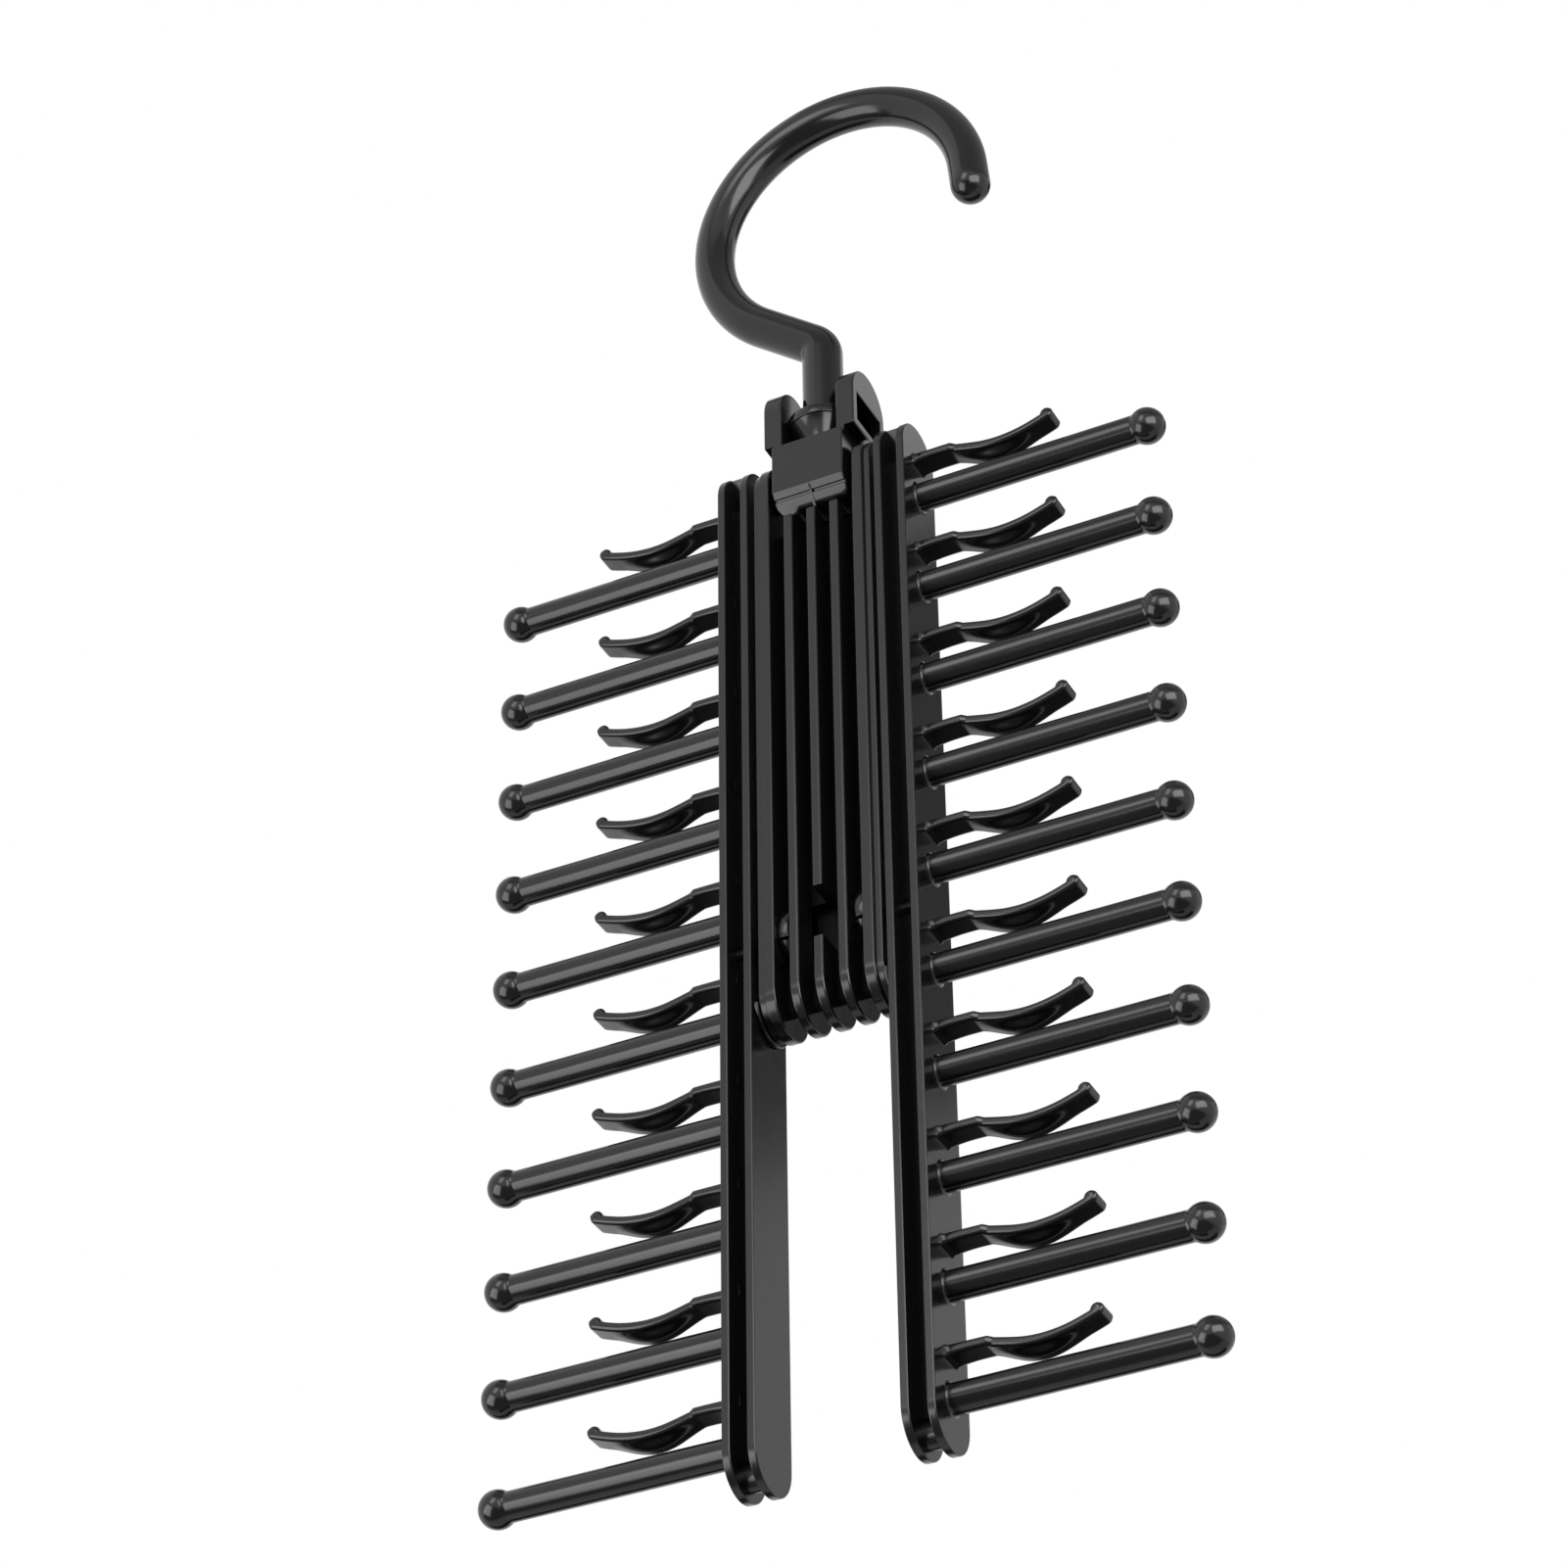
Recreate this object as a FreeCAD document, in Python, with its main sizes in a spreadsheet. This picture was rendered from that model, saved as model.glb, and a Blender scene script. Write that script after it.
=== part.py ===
import FreeCAD, Part
import math
import os
import Sketcher

# Folding cross tie hanger. Lengths in millimetres. The origin is the point of the hook that rests on a closet
# rod, X runs along the right-hand pegs, Y to the back and Z up.
LENGTHS = {
    # hook
    "rod_diameter": 8.5,
    "loop_radius": 29.7,
    "loop_offset": 4.85,
    "slant_length": 14.9,
    "bend_radius": 5.0,
    "tip_length": 5.5,
    "tip_drop": 2.9,
    "tenon_diameter": 5.2,
    "retainer_foot_diameter": 8.4,
    "retainer_inset": 0.9,
    # bracket
    "bracket_drop": 106.7,
    "block_width": 15.8,
    "block_depth": 17.2,
    "block_height": 17.3,
    "block_round": 5.0,
    "face_groove": 0.7,
    "face_groove_depth": 0.6,
    "face_groove_height": 3.95,
    "ear_inner": 6.1,
    "ear_outer": 10.1,
    "ear_depth": 14.8,
    "ear_step": 1.3,
    "ear_centre_height": 28.2,
    "ear_pocket_depth": 2.6,
    "ear_pocket_width": 11.0,
    "ear_pocket_bottom": 20.6,
    "ear_pocket_top": 27.8,
    "deck_height": 24.4,
    "deck_thickness": 2.1,
    "deck_diameter": 15.2,
    "cross_pin_diameter": 4.0,
    "cross_pin_inset": 0.15,
    "cross_pin_height": 9.45,
    # centre bar
    "bar_depth": 14.8,
    "bar_setdown": 0.8,
    "bar_foot": 14.05,
    "cheek_inner": 9.2,
    "cheek_outer": 13.05,
    "rib_pitch": 5.1,
    "rib_thickness": 2.05,
    "core_thickness": 2.5,
    "core_setback": 5.0,
    "edge_groove": 0.55,
    "edge_groove_inset": 1.5,
    "edge_groove_depth": 1.2,
    "notch_top": 6.05,
    "notch_foot": 5.35,
    "notch_floor": 0.9,
    "rub_pad_height": 0.75,
    "rub_pad_drop": 16.05,
    # rails
    "rail_inner": 14.1,
    "rail_head": 17.75,
    "rail_tail": 10.25,
    "flange_thickness": 1.65,
    "recess_width": 3.4,
    "web_thickness": 2.0,
    "web_setback": 5.0,
    "hub_diameter": 6.8,
    # pivot pins
    "pivot_diameter": 4.0,
    "pivot_head_diameter": 8.4,
    "pivot_head_gap": 0.3,
    "pivot_slit": 1.0,
    # pegs
    "peg_pitch": 22.5,
    "pivot_rise": 15.0,
    "peg_diameter": 5.9,
    "peg_length": 49.2,
    "ball_diameter": 7.5,
    "spigot_diameter": 4.4,
    # clips
    "clip_rise": 8.7,
    "clip_width": 4.5,
    "clip_thickness": 1.9,
    "knuckle_diameter": 2.9,
    "clip_kink": 12.3,
    "clip_dip_start": 19.3,
    "clip_dip_end": 25.3,
    "clip_reach": 33.6,
    "clip_dip_start_depth": 1.5,
    "clip_dip_end_depth": 1.7,
    "clip_tip_rise": 0.65,
    "window_side_gap": 0.25,
    "window_over_gap": 0.85,
    "window_under_gap": 0.6,
    "slot_relief": 0.75,
    # fits
    "running_gap": 0.05,
    "stem_gap": 0.3,
    "overrun": 1.0,
}
PEG_COUNT = 10
UPPER_PEG_COUNT = 5
SIDES = {"right": 1, "left": -1}

os.makedirs("parts", exist_ok=True)
doc = FreeCAD.newDocument("tie_hanger")
sheet = doc.addObject("Spreadsheet::Sheet", "Sizes")
for row, (word, number) in enumerate(LENGTHS.items(), start=1):
    sheet.set("A%d" % row, word)
    sheet.set("B%d" % row, str(number))
    sheet.setAlias("B%d" % row, word)
doc.recompute()


class Size:
    """A length with its number and the sheet formula that gives it."""

    def __init__(self, number, formula):
        self.number = number
        self.formula = formula

    def __add__(self, other):
        return Size(self.number + other.number, "(%s + %s)" % (self.formula, other.formula))

    def __sub__(self, other):
        return Size(self.number - other.number, "(%s - %s)" % (self.formula, other.formula))

    def __mul__(self, times):
        return Size(self.number * times, "(%s * %s)" % (self.formula, times))

    def __neg__(self):
        return self * -1

    def half(self):
        return self * 0.5


def size(word):
    """The named length from the sheet."""
    return Size(float(sheet.get(word)), "Sizes.%s" % word)


def leg(longest, other_leg):
    """The third side of a right triangle."""
    number = math.sqrt(longest.number ** 2 - other_leg.number ** 2)
    formula = "sqrt((%s)^2 - (%s)^2)" % (longest.formula, other_leg.formula)
    return Size(number, formula)


def long_side(leg_one, leg_two):
    """The longest side of a right triangle."""
    number = math.hypot(leg_one.number, leg_two.number)
    formula = "sqrt((%s)^2 + (%s)^2)" % (leg_one.formula, leg_two.formula)
    return Size(number, formula)


ZERO = Size(0.0, "0")


def origin_feature(body, role):
    """A plane or axis of the body's own origin."""
    for feature in body.Origin.OriginFeatures:
        if feature.Role == role:
            return feature
    raise RuntimeError("no %s" % role)


def new_body(label, height=ZERO, across=ZERO, turned=False):
    """A body with its label and place."""
    body = doc.addObject("PartDesign::Body", label)
    body.Label = label
    turn = FreeCAD.Rotation(FreeCAD.Vector(0, 0, 1), 180 if turned else 0)
    body.Placement = FreeCAD.Placement(FreeCAD.Vector(across.number, 0, height.number), turn)
    body.setExpression("Placement.Base.x", across.formula)
    body.setExpression("Placement.Base.z", height.formula)
    return body


def new_sketch(body, role, name, lift=ZERO):
    """A sketch on one of the body's planes, lifted along the plane's normal."""
    sketch = body.newObject("Sketcher::SketchObject", name)
    sketch.AttachmentSupport = (origin_feature(body, role), [""])
    sketch.MapMode = "FlatFace"
    sketch.AttachmentOffset = FreeCAD.Placement(FreeCAD.Vector(0, 0, lift.number), FreeCAD.Rotation())
    sketch.setExpression("AttachmentOffset.Base.z", lift.formula)
    return sketch


def dimension(sketch, constraint, length):
    """Add a constraint whose value follows a length of the sheet."""
    index = sketch.addConstraint(constraint)
    sketch.setExpression("Constraints[%d]" % index, length.formula)


def pin_across(sketch, edge, end, length):
    """Hold a sketch point at its distance to the right of the origin."""
    if length.number == 0:
        sketch.addConstraint(Sketcher.Constraint("PointOnObject", edge, end, -2))
    elif length.number > 0:
        dimension(sketch, Sketcher.Constraint("DistanceX", -1, 1, edge, end, length.number), length)
    else:
        dimension(sketch, Sketcher.Constraint("DistanceX", edge, end, -1, 1, -length.number), -length)


def pin_up(sketch, edge, end, length):
    """Hold a sketch point at its distance above the origin."""
    if length.number == 0:
        sketch.addConstraint(Sketcher.Constraint("PointOnObject", edge, end, -1))
    elif length.number > 0:
        dimension(sketch, Sketcher.Constraint("DistanceY", -1, 1, edge, end, length.number), length)
    else:
        dimension(sketch, Sketcher.Constraint("DistanceY", edge, end, -1, 1, -length.number), -length)


def pin_point(sketch, edge, end, across, up):
    """Hold a sketch point at both distances."""
    pin_across(sketch, edge, end, across)
    pin_up(sketch, edge, end, up)


def draw_outline(sketch, corners, arcs=None):
    """Draw a closed outline anticlockwise; arcs maps an edge's number to its radius, also of a half circle."""
    arcs = arcs or {}
    points = [FreeCAD.Vector(across.number, up.number, 0) for across, up in corners]
    edges = []
    for number, start in enumerate(points):
        end = points[(number + 1) % len(points)]
        if number in arcs:
            chord = end - start
            reach = max(arcs[number].number ** 2 - chord.Length ** 2 / 4, 0) ** 0.5
            inward = FreeCAD.Vector(-chord.y, chord.x, 0).normalize()
            centre = (start + end) * 0.5 + inward * reach
            circle = Part.Circle(centre, FreeCAD.Vector(0, 0, 1), arcs[number].number)
            first = math.atan2(start.y - centre.y, start.x - centre.x)
            last = math.atan2(end.y - centre.y, end.x - centre.x)
            if last <= first:
                last += 2 * math.pi
            edges.append(sketch.addGeometry(Part.ArcOfCircle(circle, first, last)))
        else:
            edges.append(sketch.addGeometry(Part.LineSegment(start, end)))
    for number, edge in enumerate(edges):
        following = edges[(number + 1) % len(edges)]
        sketch.addConstraint(Sketcher.Constraint("Coincident", edge, 2, following, 1))
    for number, edge in enumerate(edges):
        pin_point(sketch, edge, 1, *corners[number])
    for number, radius in arcs.items():
        chord = points[(number + 1) % len(points)] - points[number]
        if not math.isclose(chord.Length, 2 * radius.number):
            dimension(sketch, Sketcher.Constraint("Radius", edges[number], radius.number), radius)
        elif abs(chord.x) > abs(chord.y):
            pin_up(sketch, edges[number], 3, corners[number][1])
        else:
            pin_across(sketch, edges[number], 3, corners[number][0])


def draw_rectangle(sketch, left, right, bottom, top):
    """Draw an upright rectangle."""
    draw_outline(sketch, [(left, bottom), (right, bottom), (right, top), (left, top)])


def draw_stadium(sketch, radius, low, high):
    """Draw an upright bar with round ends centred at two heights."""
    corners = [(radius, low), (radius, high), (-radius, high), (-radius, low)]
    draw_outline(sketch, corners, {1: radius, 3: radius})


def draw_circle(sketch, radius, across, up):
    """Draw a circle at its distances from the origin."""
    centre = FreeCAD.Vector(across.number, up.number, 0)
    edge = sketch.addGeometry(Part.Circle(centre, FreeCAD.Vector(0, 0, 1), radius.number))
    pin_point(sketch, edge, 3, across, up)
    dimension(sketch, Sketcher.Constraint("Radius", edge, radius.number), radius)


def extrude(body, kind, name, sketch, length, backward=False, both=False):
    """Pad or pocket a sketch."""
    feature = body.newObject("PartDesign::" + kind, name)
    feature.Profile = sketch
    feature.SideType = "Symmetric" if both else "One side"
    feature.Reversed = backward
    feature.Length = length.number
    feature.setExpression("Length", length.formula)
    body.Tip = feature
    return feature


def revolve(body, name, sketch, axis):
    """Turn a sketch once round an axis of the body."""
    feature = body.newObject("PartDesign::Revolution", name)
    feature.Profile = sketch
    feature.ReferenceAxis = (origin_feature(body, axis), [""])
    feature.Angle = 360
    body.Tip = feature
    return feature


nodes = []
overrun = size("overrun")
rod_radius = size("rod_diameter").half()
loop_radius = size("loop_radius")
loop_offset = size("loop_offset")
bar_half = size("bar_depth").half()

# Heights in the rails and the bar count from the pivot, which lies a set height above the peg below it.
first_peg = size("peg_pitch") * UPPER_PEG_COUNT - size("pivot_rise")
last_peg = first_peg - size("peg_pitch") * (PEG_COUNT - 1)
rail_top = first_peg + size("rail_head")
rail_foot = last_peg - size("rail_tail")
bar_top = rail_top - bar_half - size("bar_setdown")
bracket_height = -size("bracket_drop")
pivot_height = bracket_height + size("cross_pin_height") - bar_top

# Hook: a stem, a bend, a slant, a loop and a straight tip in the XZ plane, measured from the loop's centre.
loop_height = -leg(loop_radius - rod_radius, loop_offset)
deck_bottom = bracket_height + size("deck_height") - loop_height
tenon_top = deck_bottom - size("stem_gap")
tenon_foot = bracket_height + size("block_height") + size("stem_gap") - loop_height
bend_radius = size("bend_radius")
slant_length = size("slant_length")
tip_length = size("tip_length")
tip_drop = size("tip_drop")
centre_distance = long_side(loop_radius + bend_radius, slant_length)
bend_level = -leg(centre_distance, loop_offset + bend_radius)
hook = new_body("hook", loop_height)
path = new_sketch(hook, "XZ_Plane", "hook_path")
bend_centre = FreeCAD.Vector(-bend_radius.number, bend_level.number, 0)
loop_centre = FreeCAD.Vector(loop_offset.number, 0, 0)
centre_turn = math.atan2(-bend_level.number, (loop_offset + bend_radius).number)
slant_turn = centre_turn - math.acos((loop_radius + bend_radius).number / centre_distance.number)
tip_reach = long_side(loop_radius, tip_length)
tip_turn = math.atan2(tip_length.number, loop_radius.number) - math.asin(tip_drop.number / tip_reach.number)
upright = FreeCAD.Vector(0, 0, 1)
outward = FreeCAD.Vector(math.cos(slant_turn), math.sin(slant_turn), 0)
tip_outward = FreeCAD.Vector(math.cos(tip_turn), math.sin(tip_turn), 0)
tip_onward = FreeCAD.Vector(math.sin(tip_turn), -math.cos(tip_turn), 0)
tip_start = loop_centre + tip_outward * loop_radius.number
tip_end = tip_start + tip_onward * tip_length.number
stem_line = path.addGeometry(
    Part.LineSegment(FreeCAD.Vector(0, tenon_top.number, 0), FreeCAD.Vector(0, bend_level.number, 0)))
bend_arc = path.addGeometry(
    Part.ArcOfCircle(Part.Circle(bend_centre, upright, bend_radius.number), 0, slant_turn))
slant_start = bend_centre + outward * bend_radius.number
slant_line = path.addGeometry(Part.LineSegment(slant_start, loop_centre - outward * loop_radius.number))
loop_arc = path.addGeometry(
    Part.ArcOfCircle(Part.Circle(loop_centre, upright, loop_radius.number), tip_turn, slant_turn + math.pi))
tip_line = path.addGeometry(Part.LineSegment(tip_start, tip_end))
pin_point(path, stem_line, 1, ZERO, tenon_top)
path.addConstraint(Sketcher.Constraint("PointOnObject", stem_line, 2, -2))
path.addConstraint(Sketcher.Constraint("Tangent", stem_line, 2, bend_arc, 1))
path.addConstraint(Sketcher.Constraint("Tangent", bend_arc, 2, slant_line, 1))
path.addConstraint(Sketcher.Constraint("Tangent", slant_line, 2, loop_arc, 2))
path.addConstraint(Sketcher.Constraint("Tangent", loop_arc, 1, tip_line, 1))
dimension(path, Sketcher.Constraint("Radius", bend_arc, bend_radius.number), bend_radius)
dimension(path, Sketcher.Constraint("Radius", loop_arc, loop_radius.number), loop_radius)
dimension(path, Sketcher.Constraint("Distance", slant_line, slant_length.number), slant_length)
dimension(path, Sketcher.Constraint("Distance", tip_line, tip_length.number), tip_length)
pin_point(path, loop_arc, 3, loop_offset, ZERO)
pin_up(path, tip_line, 2, -tip_drop)
section = new_sketch(hook, "XY_Plane", "hook_section", tenon_top)
draw_circle(section, rod_radius, ZERO, ZERO)
rod = hook.newObject("PartDesign::AdditivePipe", "hook_rod")
rod.Profile = section
rod.Spine = (path, ["Edge1", "Edge2", "Edge3", "Edge4", "Edge5"])
hook.Tip = rod
tip = hook.newObject("PartDesign::AdditiveSphere", "hook_tip")
tip.setExpression("Radius", rod_radius.formula)
tip.setExpression("Placement.Base.x", (loop_offset + leg(tip_reach, tip_drop)).formula)
tip.setExpression("Placement.Base.z", (-tip_drop).formula)
hook.Tip = tip
tenon_sketch = new_sketch(hook, "XY_Plane", "hook_tenon_circle", tenon_top)
draw_circle(tenon_sketch, size("tenon_diameter").half(), ZERO, ZERO)
extrude(hook, "Pad", "hook_tenon", tenon_sketch, tenon_top - tenon_foot, backward=True)
nodes.append(hook)

# Retainer: a cone on the tenon, below the bracket's deck and clear of its ears.
retainer = new_body("hook_retainer", loop_height + tenon_top)
cone = new_sketch(retainer, "XZ_Plane", "cone_profile")
tenon_radius = size("tenon_diameter").half()
cone_foot = tenon_foot + size("retainer_inset") - tenon_top
draw_outline(cone, [
    (tenon_radius, cone_foot),
    (size("retainer_foot_diameter").half(), cone_foot),
    (size("ear_inner") - size("stem_gap"), ZERO),
    (tenon_radius, ZERO),
])
revolve(retainer, "cone", cone, "Z_Axis")
nodes.append(retainer)

# Bracket: a block with a rounded foot, two ears with a step under them and a round deck between the ears.
bracket = new_body("bracket", bracket_height)
block_half = size("block_depth").half()
block_top = size("block_height")
block_round = size("block_round")
block = new_sketch(bracket, "YZ_Plane", "block_profile")
draw_outline(block, [
    (block_round - block_half, ZERO),
    (block_half - block_round, ZERO),
    (block_half, block_round),
    (block_half, block_top),
    (-block_half, block_top),
    (-block_half, block_round),
], {1: block_round, 5: block_round})
extrude(bracket, "Pad", "block", block, size("block_width"), both=True)
ear_half = size("ear_depth").half()
block_side = size("block_width").half()
for side, sign in SIDES.items():
    steps = (
        ("root", size("ear_inner"), block_side, block_top),
        ("ear", block_side, size("ear_outer"), block_top + size("ear_step")),
    )
    for name, start, end, foot in steps:
        outline = new_sketch(bracket, "YZ_Plane", "%s_%s_outline" % (side, name), start * sign)
        corners = [
            (-ear_half, foot),
            (ear_half, foot),
            (ear_half, size("ear_centre_height")),
            (-ear_half, size("ear_centre_height")),
        ]
        draw_outline(outline, corners, {2: ear_half})
        extrude(bracket, "Pad", "%s_%s" % (side, name), outline, end - start, backward=sign < 0)
deck = new_sketch(bracket, "XY_Plane", "deck_circle", size("deck_height"))
draw_circle(deck, size("deck_diameter").half(), ZERO, ZERO)
extrude(bracket, "Pad", "deck", deck, size("deck_thickness"))
for side, sign in SIDES.items():
    pocket = new_sketch(bracket, "YZ_Plane", "%s_ear_pocket_outline" % side, size("ear_outer") * sign)
    pocket_half = size("ear_pocket_width").half()
    draw_rectangle(pocket, -pocket_half, pocket_half, size("ear_pocket_bottom"), size("ear_pocket_top"))
    extrude(bracket, "Pocket", "%s_ear_pocket" % side, pocket, size("ear_pocket_depth"), backward=sign < 0)
stem_hole = new_sketch(bracket, "XY_Plane", "stem_hole_circle", size("deck_height") + size("deck_thickness"))
draw_circle(stem_hole, rod_radius + size("running_gap"), ZERO, ZERO)
extrude(bracket, "Pocket", "stem_hole", stem_hole, size("deck_thickness") + overrun)
cross_hole = new_sketch(bracket, "YZ_Plane", "cross_hole_circle")
draw_circle(cross_hole, size("cross_pin_diameter").half(), ZERO, size("cross_pin_height"))
extrude(bracket, "Pocket", "cross_hole", cross_hole, size("block_width") + overrun, both=True)
face_groove = new_sketch(bracket, "YZ_Plane", "face_groove_outline")
groove_floor = size("face_groove_depth") - block_half
groove_foot = size("face_groove_height")
groove_top = groove_foot + size("face_groove")
draw_rectangle(face_groove, -block_half - overrun, groove_floor, groove_foot, groove_top)
extrude(bracket, "Pocket", "face_groove", face_groove, size("block_width") + overrun, both=True)
nodes.append(bracket)

# Centre bar: two cheeks with a fine edge groove and three ribs, all on a thin core.
bar = new_body("centre_bar", pivot_height)
bar_foot = -size("bar_foot")
cheek_inner = size("cheek_inner")
cheek_outer = size("cheek_outer")
rib_top = bracket_height - pivot_height
core = new_sketch(bar, "XZ_Plane", "core_outline")
draw_rectangle(core, -cheek_inner, cheek_inner, bar_foot - bar_half + size("core_setback"), rib_top)
extrude(bar, "Pad", "core", core, size("core_thickness"), both=True)
for side, sign in SIDES.items():
    cheek = new_sketch(bar, "YZ_Plane", "%s_cheek_outline" % side, cheek_inner * sign)
    draw_stadium(cheek, bar_half, bar_foot, bar_top)
    extrude(bar, "Pad", "%s_cheek" % side, cheek, cheek_outer - cheek_inner, backward=sign < 0)
for place, name in ((-1, "left"), (0, "middle"), (1, "right")):
    rib = new_sketch(bar, "YZ_Plane", "%s_rib_outline" % name, size("rib_pitch") * place)
    corners = [(-bar_half, bar_foot), (bar_half, bar_foot), (bar_half, rib_top), (-bar_half, rib_top)]
    draw_outline(rib, corners, {0: bar_half})
    extrude(bar, "Pad", "%s_rib" % name, rib, size("rib_thickness"), both=True)
notch_floor = size("core_thickness").half() + size("notch_floor")
notch_reach = bar_half + overrun
for name, near, far in (("back", notch_floor, notch_reach), ("front", -notch_reach, -notch_floor)):
    notch = new_sketch(bar, "YZ_Plane", "%s_notch_outline" % name)
    draw_rectangle(notch, near, far, -size("notch_foot"), size("notch_top"))
    extrude(bar, "Pocket", "%s_notch" % name, notch, size("rib_thickness") + overrun, both=True)
head_room = size("pivot_head_diameter").half() + size("pivot_head_gap")
rib_face = size("rib_pitch") + size("rib_thickness").half()
for name, near, far in (("right", rib_face, cheek_inner), ("left", -cheek_inner, -rib_face)):
    window = new_sketch(bar, "XZ_Plane", "%s_head_window_outline" % name)
    draw_rectangle(window, near, far, -head_room, head_room)
    extrude(bar, "Pocket", "%s_head_window" % name, window, size("core_thickness") + overrun, both=True)
cheek_thickness = cheek_outer - cheek_inner
groove_place = cheek_outer - size("edge_groove_inset") - size("edge_groove")
for side, sign in SIDES.items():
    groove = new_sketch(bar, "YZ_Plane", "%s_edge_groove_outline" % side, groove_place * sign)
    draw_stadium(groove, bar_half + overrun, bar_foot, bar_top)
    draw_stadium(groove, bar_half - size("edge_groove_depth"), bar_foot, bar_top)
    extrude(bar, "Pocket", "%s_edge_groove" % side, groove, size("edge_groove"), backward=sign > 0)
    pad = new_sketch(bar, "YZ_Plane", "%s_rub_pad_outline" % side, cheek_outer * sign)
    pad_level = -size("rub_pad_drop")
    pad_half = leg(bar_half, bar_foot - pad_level)
    draw_outline(pad, [(-pad_half, pad_level), (pad_half, pad_level)], {0: bar_half})
    extrude(bar, "Pad", "%s_rub_pad" % side, pad, size("rub_pad_height"), backward=sign < 0)
    for name, radius, level in (
        ("pivot_hole", size("pivot_diameter").half() + size("running_gap"), ZERO),
        ("cross_hole", size("cross_pin_diameter").half(), bar_top),
    ):
        hole = new_sketch(bar, "YZ_Plane", "%s_%s_circle" % (side, name), cheek_outer * sign)
        draw_circle(hole, radius, ZERO, level)
        extrude(bar, "Pocket", "%s_%s" % (side, name), hole, cheek_thickness, backward=sign < 0)
nodes.append(bar)

# Cross pin: holds the bracket's block between the cheeks.
cross_pin = new_body("bracket_pin", pivot_height + bar_top)
pin_end = new_sketch(cross_pin, "YZ_Plane", "pin_circle")
draw_circle(pin_end, size("cross_pin_diameter").half(), ZERO, ZERO)
extrude(cross_pin, "Pad", "pin", pin_end, (cheek_outer - size("cross_pin_inset")) * 2, both=True)
nodes.append(cross_pin)

# Rails, pivot pins, pegs and clips. The left-hand ones are turned half round the upright axis.
rail_inner = size("rail_inner")
flange = size("flange_thickness")
recess = size("recess_width")
rail_outer = rail_inner + flange + recess + flange
knuckle_across = rail_inner + flange + recess.half()
clip_rise = size("clip_rise")
clip_half = size("clip_thickness").half()
pivot_radius = size("pivot_diameter").half()


def build_rail(label, turned):
    """An H-section rail with round ends, a blind pin hole, peg holes and clip slots."""
    rail = new_body(label, pivot_height, turned=turned)
    inner = new_sketch(rail, "YZ_Plane", label + "_inner_outline", rail_inner)
    draw_stadium(inner, bar_half, rail_foot + bar_half, rail_top - bar_half)
    extrude(rail, "Pad", label + "_inner_flange", inner, flange)
    web = new_sketch(rail, "YZ_Plane", label + "_web_outline", rail_inner + flange)
    web_half = size("web_thickness").half()
    draw_rectangle(web, -web_half, web_half, rail_foot + size("web_setback"), rail_top - size("web_setback"))
    extrude(rail, "Pad", label + "_web", web, recess)
    hub = new_sketch(rail, "YZ_Plane", label + "_hub_circle", rail_inner + flange)
    draw_circle(hub, size("hub_diameter").half(), ZERO, ZERO)
    extrude(rail, "Pad", label + "_hub", hub, recess)
    outer = new_sketch(rail, "YZ_Plane", label + "_outer_outline", rail_inner + flange + recess)
    draw_stadium(outer, bar_half, rail_foot + bar_half, rail_top - bar_half)
    extrude(rail, "Pad", label + "_outer_flange", outer, flange)
    pin_hole = new_sketch(rail, "YZ_Plane", label + "_pin_hole_circle", rail_inner)
    draw_circle(pin_hole, pivot_radius, ZERO, ZERO)
    extrude(rail, "Pocket", label + "_pin_hole", pin_hole, flange + recess, backward=True)
    peg_hole = new_sketch(rail, "YZ_Plane", label + "_peg_hole_circle", rail_outer)
    draw_circle(peg_hole, size("spigot_diameter").half(), ZERO, first_peg)
    peg_cut = extrude(rail, "Pocket", label + "_peg_hole", peg_hole, flange)
    slot = new_sketch(rail, "YZ_Plane", label + "_clip_slot_outline", rail_outer)
    slot_half = size("clip_width").half() + size("window_side_gap")
    slot_foot = first_peg + clip_rise - clip_half - size("window_under_gap")
    slot_top = first_peg + clip_rise + clip_half + size("window_over_gap")
    draw_rectangle(slot, -slot_half, slot_half, slot_foot, slot_top)
    slot_cut = extrude(rail, "Pocket", label + "_clip_slot", slot, flange + size("slot_relief"))
    knuckle = new_sketch(rail, "XZ_Plane", label + "_knuckle_circle")
    knuckle_radius = size("knuckle_diameter").half() + size("running_gap")
    draw_circle(knuckle, knuckle_radius, knuckle_across, first_peg + clip_rise)
    knuckle_cut = extrude(
        rail, "Pocket", label + "_knuckle_hole", knuckle, size("web_thickness") + overrun, both=True)
    row = rail.newObject("PartDesign::LinearPattern", label + "_row")
    row.Originals = [peg_cut, slot_cut, knuckle_cut]
    row.Direction = (origin_feature(rail, "Z_Axis"), [""])
    row.Reversed = True
    row.Occurrences = PEG_COUNT
    row.setExpression("Length", (first_peg - last_peg).formula)
    rail.Tip = row
    return rail


def build_pivot_pin(label, turned):
    """A split snap pin, fixed in the rail and turning in the cheek."""
    pin = new_body(label, pivot_height, turned=turned)
    profile = new_sketch(pin, "XZ_Plane", label + "_profile")
    head_radius = size("pivot_head_diameter").half()
    head_end = rib_face + size("pivot_head_gap")
    head_start = cheek_inner - size("pivot_head_gap")
    root = rail_inner + flange + recess
    draw_outline(profile, [
        (head_end, ZERO),
        (root, ZERO),
        (root, pivot_radius),
        (head_start, pivot_radius),
        (head_start, head_radius),
        (head_end, head_radius),
    ])
    revolve(pin, label + "_body", profile, "X_Axis")
    slit = new_sketch(pin, "XZ_Plane", label + "_slit_outline")
    slit_half = size("pivot_slit").half()
    draw_rectangle(slit, head_end - overrun, cheek_inner, -slit_half, slit_half)
    extrude(pin, "Pocket", label + "_slit", slit, head_radius * 2 + overrun, both=True)
    return pin


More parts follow.
